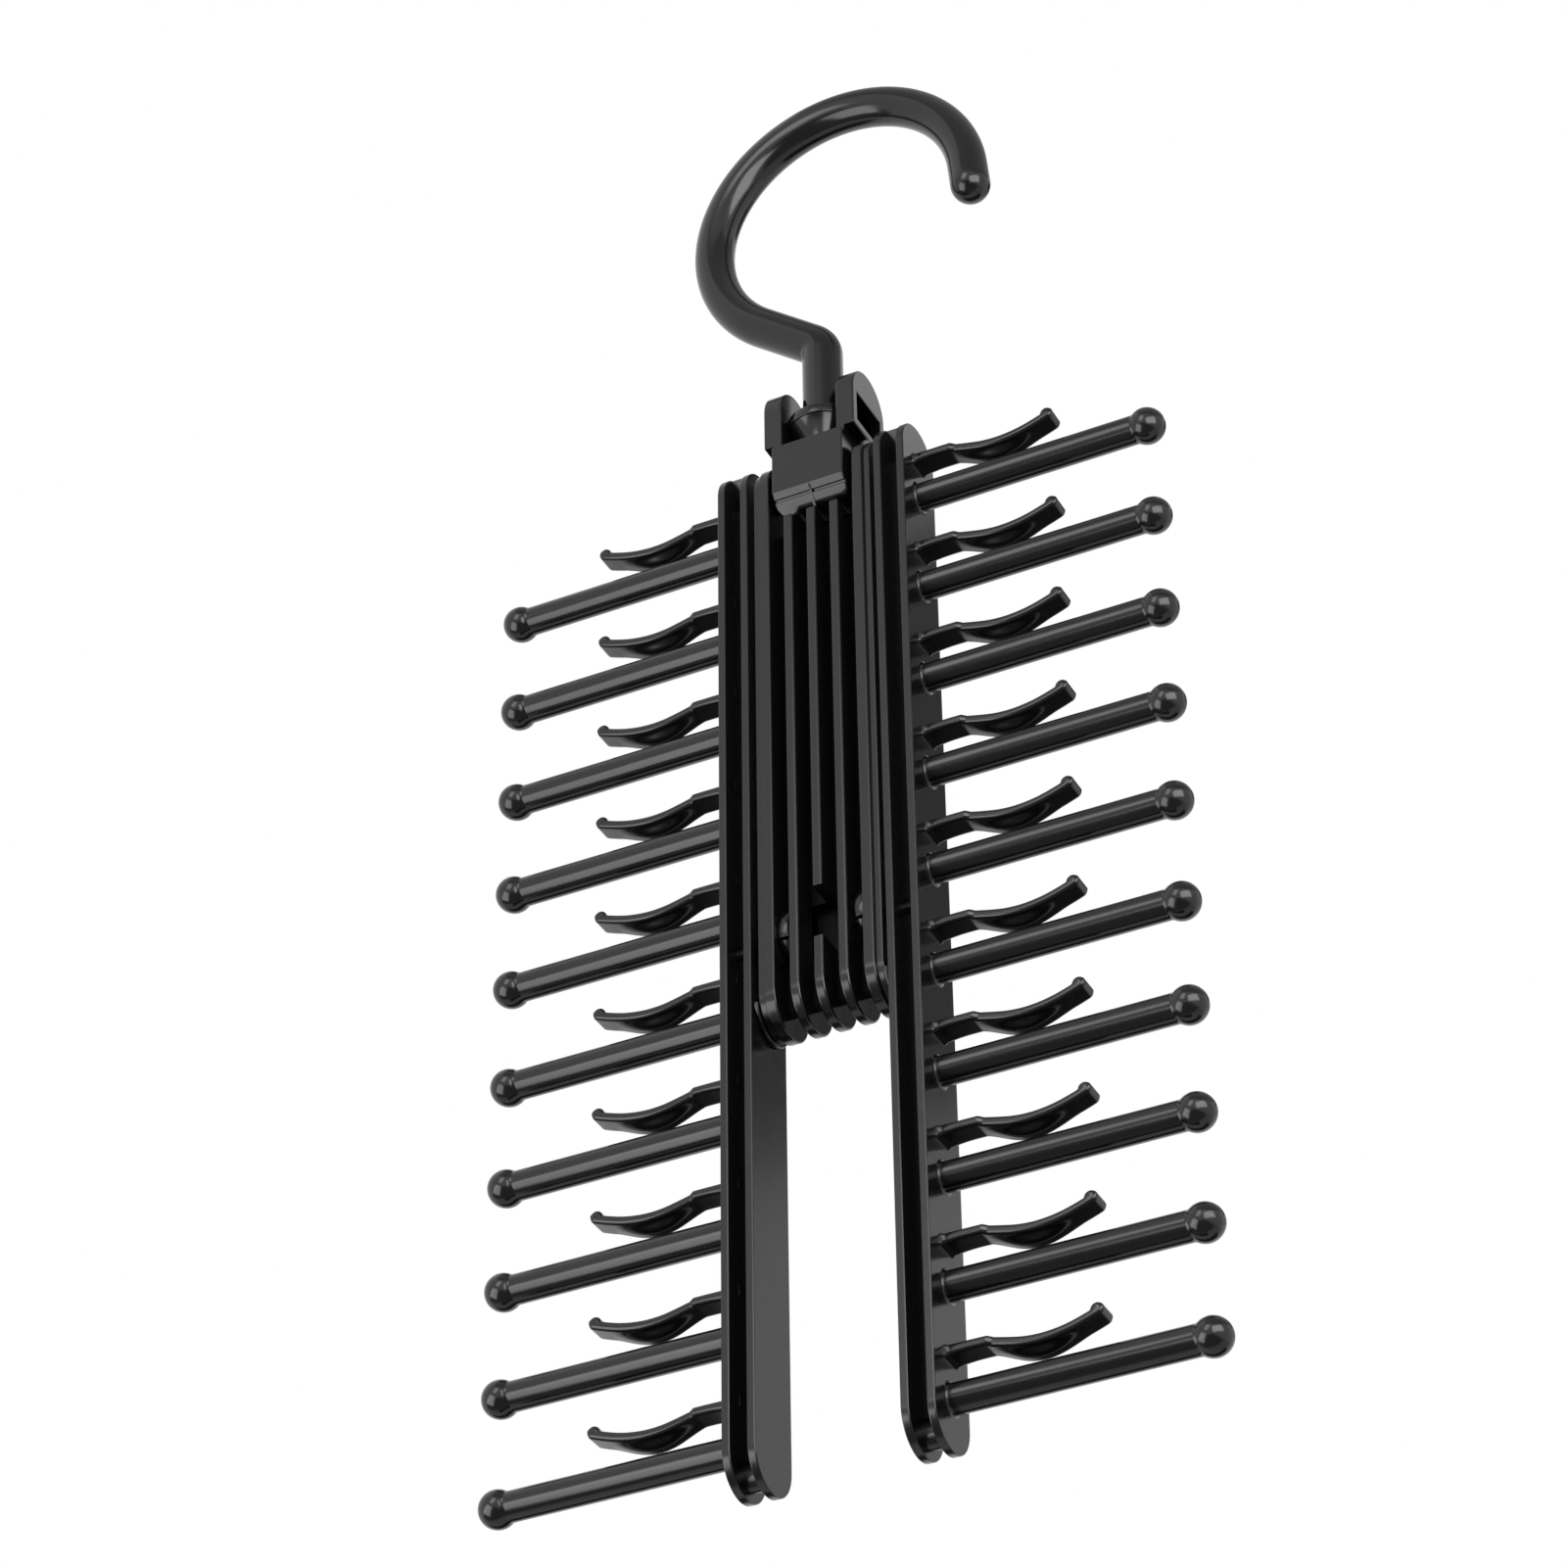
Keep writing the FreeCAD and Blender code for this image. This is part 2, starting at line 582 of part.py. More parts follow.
def build_peg(label, sign, height):
    """A round peg with a ball end and a spigot in the rail's outer flange."""
    peg = new_body(label, height, rail_outer * sign, turned=sign < 0)
    profile = new_sketch(peg, "XZ_Plane", label + "_profile")
    peg_radius = size("peg_diameter").half()
    ball_radius = size("ball_diameter").half()
    spigot_radius = size("spigot_diameter").half()
    ball_place = size("peg_length")
    draw_outline(profile, [
        (-flange, ZERO),
        (ball_place + ball_radius, ZERO),
        (ball_place - leg(ball_radius, peg_radius), peg_radius),
        (ZERO, peg_radius),
        (ZERO, spigot_radius),
        (-flange, spigot_radius),
    ], {1: ball_radius})
    revolve(peg, label + "_body", profile, "X_Axis")
    return peg


def build_clip(label, sign, height):
    """A wavy spring finger with a round knuckle in the rail's web."""
    clip = new_body(label, height, knuckle_across * sign, turned=sign < 0)
    profile = new_sketch(clip, "XZ_Plane", label + "_profile")
    stations = [
        (ZERO, ZERO),
        (size("clip_kink"), ZERO),
        (size("clip_dip_start"), -size("clip_dip_start_depth")),
        (size("clip_dip_end"), -size("clip_dip_end_depth")),
        (size("clip_reach"), size("clip_tip_rise")),
    ]
    lower = [(across, up - clip_half) for across, up in stations]
    upper = [(across, up + clip_half) for across, up in reversed(stations)]
    draw_outline(profile, lower + upper, {len(lower) - 1: clip_half})
    extrude(clip, "Pad", label + "_band", profile, size("clip_width"), both=True)
    knuckle = new_sketch(clip, "XZ_Plane", label + "_knuckle_circle")
    draw_circle(knuckle, size("knuckle_diameter").half(), ZERO, ZERO)
    extrude(clip, "Pad", label + "_knuckle", knuckle, size("clip_width"), both=True)
    return clip


for side, sign in SIDES.items():
    nodes.append(build_rail(side + "_rail", sign < 0))
    nodes.append(build_pivot_pin(side + "_pivot_pin", sign < 0))
    for number in range(PEG_COUNT):
        level = pivot_height + first_peg - size("peg_pitch") * number
        nodes.append(build_peg("%s_peg_%02d" % (side, number + 1), sign, level))
        nodes.append(build_clip("%s_clip_%02d" % (side, number + 1), sign, level + clip_rise))

doc.recompute()
for item in doc.Objects:
    if "Invalid" in item.State or "Error" in item.State:
        raise RuntimeError("%s did not build" % item.Name)
for node in nodes:
    shape = node.Shape
    if shape.isNull() or not shape.isValid() or len(shape.Solids) != 1:
        raise RuntimeError("%s is not one valid solid" % node.Label)
    shape.exportStep("parts/%s.step" % node.Label)
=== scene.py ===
"""Folding cross tie hanger in black gloss plastic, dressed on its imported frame.

Lengths are in millimetres until they go into a mesh.
"""
import math

import bmesh
import bpy
import numpy as np
from mathutils import Matrix, Vector


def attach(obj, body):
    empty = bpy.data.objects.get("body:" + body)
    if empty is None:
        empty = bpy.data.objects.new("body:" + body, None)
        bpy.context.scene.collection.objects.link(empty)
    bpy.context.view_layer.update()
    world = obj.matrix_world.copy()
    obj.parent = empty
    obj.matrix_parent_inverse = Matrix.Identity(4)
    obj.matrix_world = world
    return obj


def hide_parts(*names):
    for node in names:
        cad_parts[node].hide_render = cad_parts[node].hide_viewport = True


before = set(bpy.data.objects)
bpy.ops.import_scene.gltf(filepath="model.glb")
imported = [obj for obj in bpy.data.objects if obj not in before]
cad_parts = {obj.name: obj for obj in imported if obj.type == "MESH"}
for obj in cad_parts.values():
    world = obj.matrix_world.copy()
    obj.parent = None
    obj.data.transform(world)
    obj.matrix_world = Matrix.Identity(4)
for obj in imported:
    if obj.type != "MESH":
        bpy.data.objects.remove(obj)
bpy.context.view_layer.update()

MM = 0.001
SIDES = {"right": 1, "left": -1}
PEG_COUNT = 10

# Heights from the rod seat, all worked out from the bracket's foot, and the main sizes of the part.
BRACKET_FOOT = -106.7
BLOCK_TOP = BRACKET_FOOT + 17.3
DECK_BOTTOM = BRACKET_FOOT + 24.4
DECK_TOP = DECK_BOTTOM + 2.1
STEM_FOOT = DECK_BOTTOM - 0.3
EAR_CENTRE = BRACKET_FOOT + 28.2
PIVOT = BRACKET_FOOT - 97.6
PEG_PITCH = 22.5
FIRST_PEG = PIVOT + 97.5
RAIL_TOP = PIVOT + 115.25
RAIL_FOOT = PIVOT - 115.25
BAR_TOP = PIVOT + 114.45
BAR_FOOT = PIVOT - 21.45
HALF_DEPTH = 7.4
RECESS = HALF_DEPTH - 1.0
RIB_X, RIB_HALF, RIB_SOFT = 5.1, 1.025, 0.4
CHEEK_INNER, CHEEK_OUTER = 9.2, 13.05
RAIL_INNER, RAIL_OUTER = 14.1, 20.8
FLANGE = 1.65
PEG_RADIUS = 2.95
BALL_RADIUS = 3.75
PEG_LENGTH = 49.2
KNUCKLE = 17.45
CLIP_RISE = 8.7
ROD_RADIUS = 4.25
LOOP_RADIUS = 29.7
LOOP_OFFSET = 4.85
SLANT_LENGTH = 14.9
BEND_RADIUS = 5.0
TIP_LENGTH = 5.5
TIP_DROP = 2.9


# Mesh building.
def put_mesh(name, points, faces, crease=38):
    """A mesh object at the origin from points in millimetres, smooth below the crease angle in degrees.

    Doubles are merged and faces turned outwards.
    """
    mesh = bpy.data.meshes.new(name)
    mesh.from_pydata((np.asarray(points) * MM).tolist(), [], [list(face) for face in faces])
    work = bmesh.new()
    work.from_mesh(mesh)
    bmesh.ops.remove_doubles(work, verts=work.verts, dist=2e-7)
    bmesh.ops.dissolve_degenerate(work, edges=work.edges, dist=1e-8)
    bmesh.ops.recalc_face_normals(work, faces=work.faces)
    work.to_mesh(mesh)
    work.free()
    mesh.polygons.foreach_set("use_smooth", np.full(len(mesh.polygons), True))
    mesh.set_sharp_from_angle(angle=math.radians(crease))
    piece = bpy.data.objects.new(name, mesh)
    bpy.context.collection.objects.link(piece)
    return piece


def grid_faces(rows, columns, first=0, round_rows=False, round_columns=False):
    """Quads of a grid of rows by columns, closed along either direction if asked."""
    row = np.arange(rows if round_rows else rows - 1)
    column = np.arange(columns if round_columns else columns - 1)
    row, column = np.meshgrid(row, column, indexing="ij")
    next_row, next_column = (row + 1) % rows, (column + 1) % columns
    corners = (row * columns + column, row * columns + next_column,
               next_row * columns + next_column, next_row * columns + column)
    return first + np.stack(corners, -1).reshape(-1, 4)


class Shell:
    """Collects grids of points into one mesh."""

    def __init__(self):
        self.points = []
        self.faces = []
        self.count = 0

    def add(self, grid, round_rows=False, round_columns=False):
        rows, columns = grid.shape[:2]
        self.faces.extend(grid_faces(rows, columns, self.count, round_rows, round_columns).tolist())
        self.points.append(grid.reshape(-1, 3))
        self.count += rows * columns

    def finish(self, name):
        return put_mesh(name, np.concatenate(self.points), self.faces)


def arc(start, end, steps):
    """Evenly spaced angles in degrees, as radians."""
    return np.radians(np.linspace(start, end, steps))


def rim(low, high, radius, steps=5):
    """Half a plate's rim as (x, inset) pairs: face, rounded edge, edge, rounded edge, face."""
    turn = arc(0, 90, steps)
    first = np.stack([low + radius * (1 - np.sin(turn)), radius * (1 - np.cos(turn))], -1)[::-1]
    second = np.stack([high - radius * (1 - np.sin(turn)), radius * (1 - np.cos(turn))], -1)
    hold = radius * 1.15
    edge = np.array([(low + hold, 0.0), (high - hold, 0.0)])
    return np.concatenate([[(low, hold)], first, edge, second, [(high, hold)]])


def upright_walk(foot, top, radius, top_square=False, steps=16, levels=()):
    """Medial points (0, z) and outward directions (y, z) once round an upright bar.

    The outline at reach r is medial + r * direction. Along the sides the medial point slides. Round an end it
    rests at the end's centre while the direction turns. For a square top the directions are lengthened to
    the square.
    """
    low, high = foot + radius, top - radius
    side = np.unique(np.concatenate([[low, high], np.asarray(levels, float)]))
    turn = arc(0, 180, 2 * steps + 1)[1:-1]
    over = np.stack([np.cos(turn), np.sin(turn)], -1)
    top_way = over / np.abs(over).max(-1, keepdims=True) if top_square else over
    right = np.tile([1.0, 0.0], (len(side), 1))
    medial = np.concatenate([side, np.full(len(turn), high), side[::-1], np.full(len(turn), low)])
    way = np.concatenate([right, top_way, -right, -over])
    return np.stack([np.zeros_like(medial), medial], -1), way


def plate(shell, walk, radius, profile, ease=None):
    """Carries an (x, inset) profile round an upright walk; both faces close on the bar's middle line.

    A point is (x, medial + (radius - inset) * direction). ease(way_up, inset) may change the inset at an end.
    """
    medial, way = walk
    x, inset = profile[:, 0], profile[:, 1]
    depth = np.broadcast_to(inset, (len(medial), len(inset)))
    if ease is not None:
        depth = ease(way[:, 1:2], depth)
    outline = medial[:, None] + (radius - depth)[..., None] * way[:, None]
    grid = np.concatenate([np.broadcast_to(x[None, :, None], depth.shape + (1,)), outline], -1)
    shell.add(grid, round_rows=True)


def faced(profile, radius):
    """A rim with both faces carried in to the middle line."""
    return np.concatenate([[(profile[0, 0], radius)], profile, [(profile[-1, 0], radius)]])


def spun(shell, profile, centre, around=48):
    """Turns an (x, r) profile round the X axis through a centre (y, z): (x, y + r cos a, z + r sin a)."""
    angle = np.linspace(0, 2 * np.pi, around, endpoint=False)
    x = np.broadcast_to(profile[:, 0], (around, len(profile)))
    y = centre[0] + profile[:, 1] * np.cos(angle)[:, None]
    z = centre[1] + profile[:, 1] * np.sin(angle)[:, None]
    shell.add(np.stack([x, y, z], -1), round_rows=True)


def turned_upright(shell, profile, around=64):
    """Turns an (r, z) profile round the Z axis: (r cos a, r sin a, z)."""
    angle = np.linspace(0, 2 * np.pi, around, endpoint=False)
    x = profile[:, 0] * np.cos(angle)[:, None]
    y = profile[:, 0] * np.sin(angle)[:, None]
    z = np.broadcast_to(profile[:, 1], x.shape)
    shell.add(np.stack([x, y, z], -1), round_rows=True)


def mirrored(profile, sign):
    """A profile in (x, other) with x reversed for the left-hand side."""
    return profile * np.array([sign, 1.0])


def capped(grid):
    """A grid of rings whose first and last rings are closed on their own centres."""
    centre = grid.mean(1, keepdims=True)
    start = np.broadcast_to(centre[:1], grid[:1].shape)
    end = np.broadcast_to(centre[-1:], grid[-1:].shape)
    return np.concatenate([start, grid, end])


def edge_bevel(piece, width, segments=3, limit=35):
    """Rounds a piece's sharp edges and keeps its flat faces flat in the shading."""
    bevel = piece.modifiers.new("edges", "BEVEL")
    bevel.width = width * MM
    bevel.segments = segments
    bevel.limit_method = "ANGLE"
    bevel.angle_limit = math.radians(limit)
    weigh = piece.modifiers.new("shading", "WEIGHTED_NORMAL")
    weigh.keep_sharp = False
    return piece


def prism_faces(corners, first=0):
    """Side quads and two end faces of a prism whose two outlines follow each other."""
    lower = np.arange(corners)
    upper = lower + corners
    following = (lower + 1) % corners
    sides = np.stack([lower, following, following + corners, upper], -1) + first
    return sides.tolist() + [(first + lower[::-1]).tolist(), (first + upper).tolist()]


def prism_x(parts, name):
    """Solid prisms along X in one mesh: each part is (outline in (y, z), low x, high x)."""
    points, faces, count = [], [], 0
    for outline, low, high in parts:
        outline = np.asarray(outline, float)
        ends = [np.column_stack([np.full(len(outline), x), outline]) for x in (low, high)]
        faces += prism_faces(len(outline), count)
        points += ends
        count += 2 * len(outline)
    return put_mesh(name, np.concatenate(points), faces)


pieces = []


def place(piece, body, slot_name, *nodes):
    """Rides a piece on its body, in place of CAD nodes."""
    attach(piece, body)
    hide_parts(*nodes)
    pieces.append((piece, slot_name))


# Hook: a round bar along stem, bend and loop.
def hook_path():
    """Points and directions of the hook's middle line: stem, bend, slant, loop and a straight tip.

    The slant is the inner tangent of the bend's and the loop's circles, and the tip is tangent to the loop.
    """
    inner = LOOP_RADIUS - ROD_RADIUS
    loop_z = -math.sqrt(inner ** 2 - LOOP_OFFSET ** 2)
    reach = LOOP_RADIUS + BEND_RADIUS
    distance = math.hypot(reach, SLANT_LENGTH)
    bend_z = loop_z - math.sqrt(distance ** 2 - (LOOP_OFFSET + BEND_RADIUS) ** 2)
    slant = math.degrees(math.atan2(loop_z - bend_z, LOOP_OFFSET + BEND_RADIUS) - math.acos(reach / distance))
    tip = math.degrees(math.atan2(TIP_LENGTH, LOOP_RADIUS)
                       - math.asin(TIP_DROP / math.hypot(LOOP_RADIUS, TIP_LENGTH)))
    stem_z = np.linspace(STEM_FOOT, bend_z, 6)[:-1]
    stem = np.stack([np.zeros_like(stem_z), stem_z], -1)
    stem_way = np.tile([0.0, 1.0], (len(stem_z), 1))
    bend = arc(0, slant, 18)
    bend_points = np.stack([BEND_RADIUS * (np.cos(bend) - 1), bend_z + BEND_RADIUS * np.sin(bend)], -1)
    bend_way = np.stack([-np.sin(bend), np.cos(bend)], -1)
    loop = arc(slant + 180, tip, 150)
    loop_points = [LOOP_OFFSET, loop_z] + LOOP_RADIUS * np.stack([np.cos(loop), np.sin(loop)], -1)
    loop_way = np.stack([np.sin(loop), -np.cos(loop)], -1)
    step = np.linspace(0, 1, 5)[1:, None]
    tip_points = loop_points[-1] + step * TIP_LENGTH * loop_way[-1]
    tip_way = np.tile(loop_way[-1], (len(step), 1))
    points = np.concatenate([stem, bend_points, loop_points, tip_points])
    return points, np.concatenate([stem_way, bend_way, loop_way, tip_way])


def make_hook():
    """Tube round the middle line: point + r (cos a * normal + sin a * Y), ended by a half ball at the tip."""
    line, way = hook_path()
    reach = np.full(len(line), ROD_RADIUS)
    cap = arc(0, 90, 12)[1:]
    line = np.concatenate([line, line[-1] + ROD_RADIUS * np.sin(cap)[:, None] * way[-1]])
    reach = np.concatenate([[0.0], reach, ROD_RADIUS * np.cos(cap)])
    way = np.concatenate([way, np.tile(way[-1], (len(cap), 1))])
    line = np.concatenate([line[:1], line])
    way = np.concatenate([way[:1], way])
    angle = np.linspace(0, 2 * np.pi, 56, endpoint=False)
    out = np.stack([way[:, 1], -way[:, 0]], -1)
    x = line[:, 0, None] + reach[:, None] * out[:, 0, None] * np.cos(angle)
    z = line[:, 1, None] + reach[:, None] * out[:, 1, None] * np.cos(angle)
    y = reach[:, None] * np.sin(angle)
    shell = Shell()
    shell.add(np.stack([x, y, z], -1), round_columns=True)
    return shell.finish("hook_rod")


def make_cone():
    """Retainer under the deck with rounded rims, turned from an (r, z) profile that narrows downwards."""
    top, foot = STEM_FOOT, STEM_FOOT - 5.6
    profile = np.array([(0.0, top), (5.3, top), (5.5, top - 0.2), (5.4, top - 0.5), (4.1, top - 3.3),
                        (4.1, foot + 0.3), (3.8, foot), (0.0, foot)])
    shell = Shell()
    turned_upright(shell, profile)
    return shell.finish("hook_cone")


# Rails.
def rail_profile():
    """H-section rim in (x, inset): flange, recess, flange."""
    soft = 0.25
    inner = rim(RAIL_INNER, RAIL_INNER + FLANGE, soft)
    outer = rim(RAIL_OUTER - FLANGE, RAIL_OUTER, soft)
    recess = np.array([(RAIL_INNER + FLANGE, RECESS), (RAIL_OUTER - FLANGE, RECESS)])
    return faced(np.concatenate([inner, recess, outer]), HALF_DEPTH)


def uneven_ends(way_up, inset):
    """The recess gets shallower towards the foot, and a wall closes it over the top."""
    foot_fill, wall_fill, wall_start, wall_rise = 5.0, 6.1, 0.66, 0.1
    wall = np.clip((way_up - wall_start) / wall_rise, 0, 1)
    filled = inset - foot_fill * np.clip(-way_up, 0, 1) ** 2 - wall_fill * wall
    return np.where(np.isclose(inset, RECESS), filled, inset)


def make_rail(side, sign):
    """The H-section carried round the rail's outline."""
    walk = upright_walk(RAIL_FOOT, RAIL_TOP, HALF_DEPTH, steps=18)
    shell = Shell()
    plate(shell, walk, HALF_DEPTH, mirrored(rail_profile(), sign), uneven_ends)
    return shell.finish(side + "_rail_beam")


# Centre bar: cheeks with a stepped edge, ribs and core.
def make_cheek(side, sign):
    """Cheek plate whose outer strip lies back by a step."""
    soft, step, strip = 0.3, 0.75, 1.5
    outer_start = CHEEK_OUTER - strip
    first = rim(CHEEK_INNER, outer_start, soft)
    second = rim(CHEEK_INNER, CHEEK_OUTER, soft) + [0.0, step]
    second = second[second[:, 0] > outer_start]
    profile = faced(np.concatenate([first, [(outer_start, step)], second]), HALF_DEPTH)
    shell = Shell()
    plate(shell, upright_walk(BAR_FOOT, BAR_TOP, HALF_DEPTH, steps=18), HALF_DEPTH, mirrored(profile, sign))
    return shell.finish(side + "_cheek")


def make_rib(name, middle):
    """Plate with soft edges, round at the foot and square under the bracket."""
    profile = faced(rim(middle - RIB_HALF, middle + RIB_HALF, RIB_SOFT), HALF_DEPTH)
    shell = Shell()
    plate(shell, upright_walk(BAR_FOOT, BRACKET_FOOT, HALF_DEPTH, top_square=True), HALF_DEPTH, profile)
    return shell.finish(name)


NOTCH = (PIVOT - 5.35, PIVOT + 6.05)


def make_notched_rib():
    """Middle rib: the same plate, cut away beside the pivot to a thin web behind the middle."""
    low, high = NOTCH
    web, half_web = 1.675, 0.42
    near = 0.05
    levels = (low - near, low, high, high + near)
    medial, way = upright_walk(BAR_FOOT, BRACKET_FOOT, HALF_DEPTH, top_square=True, levels=levels)
    profile = faced(rim(-RIB_HALF, RIB_HALF, RIB_SOFT), HALF_DEPTH)
    height, on_side = medial[:, 1], np.abs(way[:, 1]) < 0.01
    inside = (height > low - near / 2) & (height < high + near / 2) & on_side
    reach = np.where(inside, half_web, HALF_DEPTH)[:, None]
    depth = np.minimum(profile[None, :, 1], reach)
    medial = medial + np.stack([np.where(inside, web, 0.0), np.zeros(len(medial))], -1)
    outline = medial[:, None] + (reach - depth)[..., None] * way[:, None]
    x = np.broadcast_to(profile[None, :, 0, None], depth.shape + (1,))
    shell = Shell()
    shell.add(np.concatenate([x, outline], -1), round_rows=True)
    return shell.finish("middle_rib")


def make_core():
    """Thin core between the cheeks, made of upright walls.

    A window beside each outer rib leaves room for the snap pin's head. At the notch of the middle rib the wall
    stands further back, which leaves a pocket.
    """
    foot, room, half = BAR_FOOT + 5.0, 6.4, 1.25
    rib_face, pocket = RIB_X + RIB_HALF, RIB_X - RIB_HALF
    pocket_front, pocket_back = 1.2, 2.15

    def wall(front, back, bottom, top):
        return [(front, bottom), (back, bottom), (back, top), (front, top)]

    parts = [(wall(pocket_front, pocket_back, *NOTCH), -pocket, pocket)]
    for low, high in ((-CHEEK_INNER, -rib_face), (rib_face, CHEEK_INNER)):
        parts.append((wall(-half, half, foot, PIVOT - room), low, high))
        parts.append((wall(-half, half, PIVOT + room, BRACKET_FOOT), low, high))
    for low, high in ((-rib_face, -pocket), (pocket, rib_face)):
        parts.append((wall(-half, half, foot, BRACKET_FOOT), low, high))
    parts.append((wall(-half, half, foot, NOTCH[0]), -pocket, pocket))
    parts.append((wall(-half, half, NOTCH[1], BRACKET_FOOT), -pocket, pocket))
    return prism_x(parts, "bar_core")


def make_rub_pad(side, sign):
    """Low pad on the cheek's lower outer face: the segment of the round end below a level line."""
    centre, proud, soft = BAR_FOOT + HALF_DEPTH, 0.75, 0.2
    level = centre - 2.0
    start = math.asin((level - centre) / HALF_DEPTH)
    angle = np.linspace(np.pi - start, 2 * np.pi + start, 28)
    outline = np.stack([HALF_DEPTH * np.cos(angle), centre + HALF_DEPTH * np.sin(angle)], -1)
    low, high = sorted((sign * CHEEK_OUTER, sign * (CHEEK_OUTER + proud)))
    return edge_bevel(prism_x([(outline, low, high)], side + "_rub_pad"), soft)


# Snap pins.
def make_snap(side, sign):
    """Split head and shaft: two half rounds of an (x, r) profile beside a slit that dips to the front."""
    slit, head, shaft, dip = 0.35, 6.1, 2.0, math.radians(25)
    profile = np.array([
        (6.9, 0.0), (6.9, 5.7), (7.02, 6.0), (7.3, head), (8.75, head), (9.02, 6.0), (9.12, 5.7),
        (9.12, shaft), (19.1, shaft), (19.1, 0.0),
    ])
    shell = Shell()
    for half in (1, -1):
        angle = arc(0, 180, 25) if half > 0 else arc(180, 360, 25)
        radius = profile[:, 1]
        y = radius * np.cos(angle)[:, None]
        z = radius * np.sin(angle)[:, None]
        lifted = np.where(profile[:, 0] < CHEEK_INNER, slit, 0.0)
        z = half * np.maximum(np.abs(z), np.minimum(lifted, radius))
        x = np.broadcast_to(sign * profile[:, 0], y.shape)
        turned = [x, y * math.cos(dip) - z * math.sin(dip), y * math.sin(dip) + z * math.cos(dip) + PIVOT]
        shell.add(np.stack(turned, -1), round_rows=True)
    return shell.finish(side + "_snap")


# Pegs and clips.
def peg_profile():
    """Peg from its root flare over the rod and the neck to the ball, in (x, r) from the rail's face."""
    flare = 0.6
    turn = arc(0, 90, 6)
    root = np.stack([flare * (1 - np.cos(turn)), PEG_RADIUS + flare * (1 - np.sin(turn))], -1)
    neck = 1.4
    lift = PEG_RADIUS + neck
    far = math.sqrt((BALL_RADIUS + neck) ** 2 - lift ** 2)
    angle = math.degrees(math.atan2(lift, far))
    hollow = arc(-90, -angle, 8)
    neck_points = np.stack([PEG_LENGTH - far + neck * np.cos(hollow), lift + neck * np.sin(hollow)], -1)
    ball = arc(180 - angle, 0, 26)[1:]
    ball_points = np.stack([PEG_LENGTH + BALL_RADIUS * np.cos(ball), BALL_RADIUS * np.sin(ball)], -1)
    start = np.array([(-0.3, 0.0), (-0.3, PEG_RADIUS + flare)])
    return np.concatenate([start, root, neck_points, ball_points])


def make_peg(side, sign, number):
    """The peg's profile turned round its own axis."""
    profile = peg_profile()
    profile = np.stack([sign * (RAIL_OUTER + profile[:, 0]), profile[:, 1]], -1)
    shell = Shell()
    spun(shell, profile, (0.0, FIRST_PEG - PEG_PITCH * number))
    return shell.finish("%s_peg_rod_%02d" % (side, number + 1))


CLIP_LINE = np.array([
    (1.6, 0.0), (6.0, 0.0), (10.6, 0.0), (11.6, -0.08), (12.4, -0.28), (14.0, -0.68), (15.6, -1.05),
    (17.6, -1.45), (19.6, -1.66), (21.6, -1.7), (23.6, -1.55), (25.6, -1.25), (27.6, -0.78), (29.6, -0.15),
    (31.2, 0.42), (32.3, 0.85),
])


def smooth_line(points, count):
    """Catmull-Rom curve through points, at even steps of its parameter."""
    padded = np.concatenate([[2 * points[0] - points[1]], points, [2 * points[-1] - points[-2]]])
    where = np.linspace(0, len(points) - 1, count)
    span = np.minimum(where.astype(int), len(points) - 2)
    share = (where - span)[:, None]
    before, start, end, after = (padded[span + step] for step in range(4))
    second = 2 * before - 5 * start + 4 * end - after
    third = 3 * start - before - 3 * end + after
    return 0.5 * (2 * start + (end - before) * share + second * share ** 2 + third * share ** 3)


